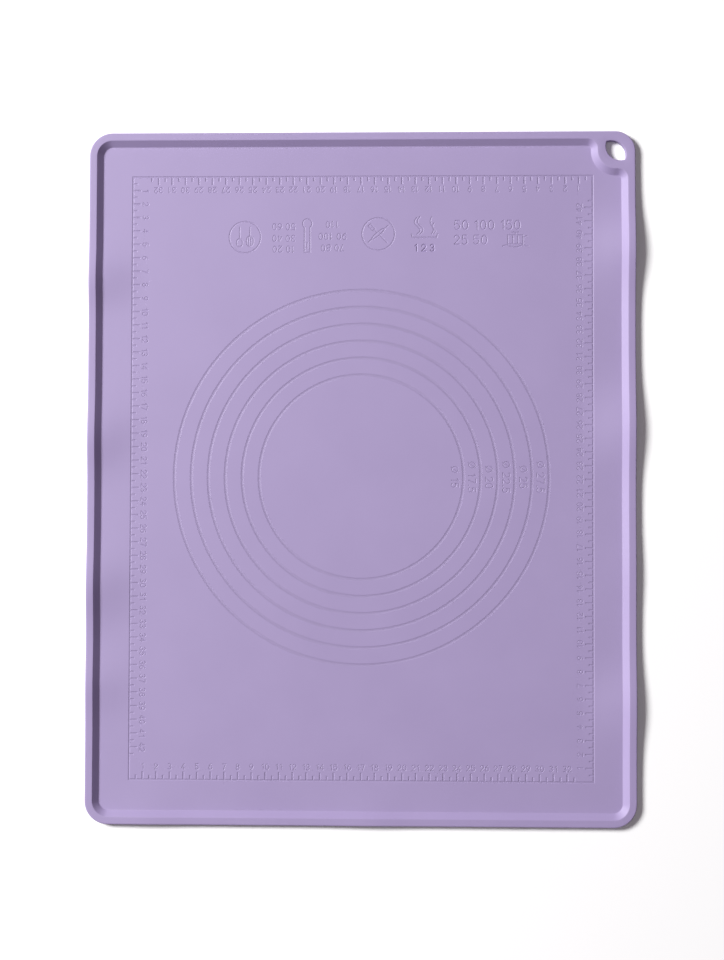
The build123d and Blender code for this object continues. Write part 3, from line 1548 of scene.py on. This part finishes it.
@dataclass(frozen=True)
class Silicone:
    """Matt moulded silicone: an even lilac with a soft bloom and a fine moulded grain.

    Attributes:
        name: Name of the material.
        colour: Its colour.
        bloom: Its colour in the paler clouds.
        engraved_share: How light the grooves are beside the rest; a painted shade that darkens the
            colour of the recesses.
        ior: Its refractive index.
        specular_level: Strength of its gloss.
        sheen: Strength of its bloom at grazing angles.
        sheen_roughness: Softness of that bloom.
        roughness: Roughness of its glossiest and of its dullest clouds.
        cloud_size: Size of the clouds.
        cloud_detail: Detail of the clouds.
        cloud_roughness: Roughness of the clouds' outlines.
        cloud_edges: Noise values between which the bloom comes up.
        grain_size: Size of the moulded grain.
        grain_detail: Detail of the grain.
        grain_depth: Depth of the grain.
        grain_strength: Strength of the grain.
    """

    name: str = "lilac_silicone"
    colour: Colour = srgb(170, 153, 199)
    bloom: Colour = srgb(173, 156, 202)
    engraved_share: float = 0.91
    ior: float = 1.5
    specular_level: float = 1.0
    sheen: float = 0.06
    sheen_roughness: float = 0.6
    roughness: tuple[float, float] = (0.56, 0.66)
    cloud_size: float = 55.0 * MM
    cloud_detail: float = 4.0
    cloud_roughness: float = 0.55
    cloud_edges: tuple[float, float] = (0.35, 0.75)
    grain_size: float = 0.45 * MM
    grain_detail: float = 2.0
    grain_depth: float = 0.010 * MM
    grain_strength: float = 0.35

    def make(self) -> bpy.types.Material:
        """Makes the material.

        Returns:
            The material.
        """
        material = bpy.data.materials.new(self.name)
        wiring = Wiring(material)
        shader = wiring.tree.nodes["Principled BSDF"]
        wiring.set(shader, {"IOR": self.ior, "Specular IOR Level": self.specular_level})
        wiring.set(shader, {"Sheen Weight": self.sheen, "Sheen Roughness": self.sheen_roughness})
        place = wiring.add("TexCoord")
        self._colour(wiring, shader, self._clouds(wiring, shader, place))
        self._grain(wiring, shader, place)
        return material

    def _clouds(
        self, wiring: Wiring, shader: bpy.types.Node, place: bpy.types.Node
    ) -> bpy.types.Node:
        """Makes the roughness cloudy, and returns the clouds.

        Args:
            wiring: The material's nodes.
            shader: Its main shader.
            place: The node that gives places.

        Returns:
            The node that gives the clouds.
        """
        texture = {"Scale": 1.0 / self.cloud_size, "Detail": self.cloud_detail}
        cloud = wiring.add("TexNoise", texture | {"Roughness": self.cloud_roughness})
        wiring.link(place, "Object", cloud, "Vector")
        dull = wiring.add("MapRange", {"To Min": self.roughness[0], "To Max": self.roughness[1]})
        wiring.link(cloud, "Fac", dull, "Value")
        wiring.link(dull, "Result", shader, "Roughness")
        return cloud

    def _colour(self, wiring: Wiring, shader: bpy.types.Node, cloud: bpy.types.Node) -> None:
        """Tints the clouds, and paints shade into the grooves by making their colour a little
        darker.

        Args:
            wiring: The material's nodes.
            shader: Its main shader.
            cloud: The node that gives the clouds.
        """
        tint = wiring.add("Mix", {"A": self.colour, "B": self.bloom}, data_type="RGBA")
        low, high = self.cloud_edges
        spread = wiring.add("MapRange", {"From Min": low, "From Max": high})
        wiring.link(cloud, "Fac", spread, "Value")
        wiring.link(spread, "Result", tint, "Factor")
        # Painted shade: the engraved groove faces get a darker base colour, which stands in for the
        # shade in the recesses.
        engraved = wiring.add("Attribute", attribute_name=Skin.ENGRAVED)
        shade = wiring.add("MapRange", {"To Min": 1.0, "To Max": self.engraved_share})
        wiring.link(engraved, "Fac", shade, "Value")
        painted_shade_tint = wiring.add("VectorMath", operation="SCALE")
        wiring.link(tint, "Result", painted_shade_tint, "Vector")
        wiring.link(shade, "Result", painted_shade_tint, "Scale")
        wiring.link(painted_shade_tint, "Vector", shader, "Base Color")

    def _grain(self, wiring: Wiring, shader: bpy.types.Node, place: bpy.types.Node) -> None:
        """Adds the fine moulded grain.

        Args:
            wiring: The material's nodes.
            shader: Its main shader.
            place: The node that gives places.
        """
        texture = {"Scale": 1.0 / self.grain_size, "Detail": self.grain_detail}
        grain = wiring.add("TexNoise", texture)
        wiring.link(place, "Object", grain, "Vector")
        bump = wiring.add("Bump", {"Strength": self.grain_strength, "Distance": self.grain_depth})
        wiring.link(grain, "Fac", bump, "Height")
        wiring.link(bump, "Normal", shader, "Normal")


@dataclass(frozen=True)
class Studio:
    """White floor, one large soft lamp at the left, and a camera almost straight above."""

    camera_place: tuple[float, float, float] = (43.0 * MM, -49.0 * MM, 1300.0 * MM)
    camera_turns: tuple[float, float, float] = (-2.062, -1.848, -0.099)
    camera_clip: float = 10.0 * MM
    focal_pixels: float = 1773.3
    picture_height: float = 960.0
    sensor: float = 36.0
    lamp_height_angle: float = 39.0
    lamp_compass: float = 156.0
    lamp_distance: float = 4.5
    lamp_size: float = 1.6
    lamp_power: float = 279.0
    sky_level: float = 0.10
    sky_colour: Colour = (1.0, 0.84, 0.95, 1.0)
    white: Colour = (1.0, 1.0, 1.0, 1.0)
    floor_half: float = 4.0
    floor_drop: float = 0.05 * MM
    floor_roughness: float = 0.9
    floor_colour: Colour = (0.8, 0.8, 0.8, 1.0)
    floor_seen: Colour = (1.1, 1.1, 1.1, 1.0)
    floor_glow: float = 0.08

    def camera(self) -> None:
        """Places the camera as the mat's outline and rings show it."""
        data = bpy.data.cameras.new("camera")
        data.sensor_width = self.sensor
        data.lens = self.focal_pixels * self.sensor / self.picture_height
        data.clip_start = self.camera_clip
        camera = placed_object("camera", data)
        turns = zip(self.camera_turns, "XYZ")
        about_x, about_y, about_z = (Matrix.Rotation(math.radians(a), 3, axis) for a, axis in turns)
        turned = (about_z @ about_y @ about_x).transposed().to_4x4()
        camera.matrix_world = Matrix.Translation(self.camera_place) @ turned
        bpy.context.scene.camera = camera

    def lamp(self) -> None:
        """Hangs the key lamp."""
        data = bpy.data.lights.new("key_lamp", "AREA")
        data.shape = "DISK"
        data.size = self.lamp_size
        data.energy = self.lamp_power
        lamp = placed_object("key_lamp", data)
        up, compass = math.radians(self.lamp_height_angle), math.radians(self.lamp_compass)
        level = math.cos(up)
        away = Vector((level * math.cos(compass), level * math.sin(compass), math.sin(up)))
        lamp.location = away * self.lamp_distance
        lamp.rotation_euler = away.to_track_quat("Z", "Y").to_euler()

    def sky(self) -> None:
        """Gives an even pale sky that the camera sees as white."""
        world = bpy.data.worlds.new("sky")
        wiring = Wiring(world)
        nodes = wiring.tree.nodes
        wiring.set(nodes["Background"], {"Color": self.sky_colour, "Strength": self.sky_level})
        seen = wiring.add("Background", {"Color": self.white})
        choose = wiring.add("MixShader")
        wiring.link(wiring.add("LightPath"), "Is Camera Ray", choose, "Fac")
        wiring.link(nodes["Background"], "Background", choose, 1)
        wiring.link(seen, "Background", choose, 2)
        wiring.link(choose, "Shader", nodes["World Output"], "Surface")
        bpy.context.scene.world = world

    def floor(self) -> None:
        """Lays the white floor."""
        half, below = self.floor_half, -self.floor_drop
        mesh = bpy.data.meshes.new("floor")
        square = ((-half, -half), (half, -half), (half, half), (-half, half))
        mesh.from_pydata([(x, y, below) for x, y in square], [], [(0, 1, 2, 3)])
        floor = placed_object("floor", mesh)
        material = bpy.data.materials.new("floor_paper")
        wiring = Wiring(material)
        shader = wiring.tree.nodes["Principled BSDF"]
        wiring.set(shader, {"Roughness": self.floor_roughness, "Specular IOR Level": 0.0})
        wiring.set(shader, {"Emission Color": self.white})
        rays = wiring.add("LightPath")
        glow = wiring.add("Math", {1: self.floor_glow}, operation="MULTIPLY")
        wiring.link(rays, "Is Camera Ray", glow, 0)
        wiring.link(glow, "Value", shader, "Emission Strength")
        shade = wiring.add("Mix", {"A": self.floor_colour, "B": self.floor_seen}, data_type="RGBA")
        wiring.link(rays, "Is Camera Ray", shade, "Factor")
        wiring.link(shade, "Result", shader, "Base Color")
        mesh.materials.append(material)

    def build(self) -> None:
        """Sets up everything round the mat."""
        bpy.context.scene.view_settings.view_transform = "Standard"
        self.camera()
        self.lamp()
        self.sky()
        self.floor()


@dataclass(frozen=True)
class Fit:
    """What the pieces must fit.

    Attributes:
        side_x: Half the mat's width.
        end_y: Half its length.
        section: Section of its rim.
        corner_radius: Radius of its plain corners.
        zone: How far the hanging corner reaches from the two outer edges.
    """

    side_x: float
    end_y: float
    section: RimSection
    corner_radius: float
    zone: float

    @classmethod
    def from_frame(cls) -> "Fit":
        """Reads the sizes from the frame.

        Returns:
            The sizes.
        """
        front_low, front_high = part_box("rim_front")
        corner_low, corner_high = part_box("rim_corner_front_left")
        hanging_low, hanging_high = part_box("hanging_corner")
        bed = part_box("bed_sheet")[1][2]
        section = RimSection(height=front_high[2], bed=bed, width=front_high[1] - front_low[1])
        return cls(
            side_x=hanging_high[0],
            end_y=hanging_high[1],
            section=section,
            corner_radius=corner_high[0] - corner_low[0],
            zone=hanging_high[0] - hanging_low[0],
        )


def main() -> None:
    """Builds the studio and the mat, and dresses it."""
    logging.basicConfig(level=logging.INFO, format="%(name)s: %(message)s")
    Studio().build()
    fit = Fit.from_frame()
    marks = Marks(Engraver())
    marks.engrave()
    log.info("%d contours", len(marks.contours))
    hanging = HangingCorner(fit.section, fit.side_x, fit.end_y, fit.zone)
    mat = Mat(fit.side_x, fit.end_y, fit.section, hanging, marks, fit.corner_radius)
    mat.build()
    skin = Skin(mat.shells, Waves(fit.side_x, fit.end_y))
    for piece in skin.dress(Silicone().make()):
        log.info("%s in place", piece.name)


if __name__ == "__main__":
    main()
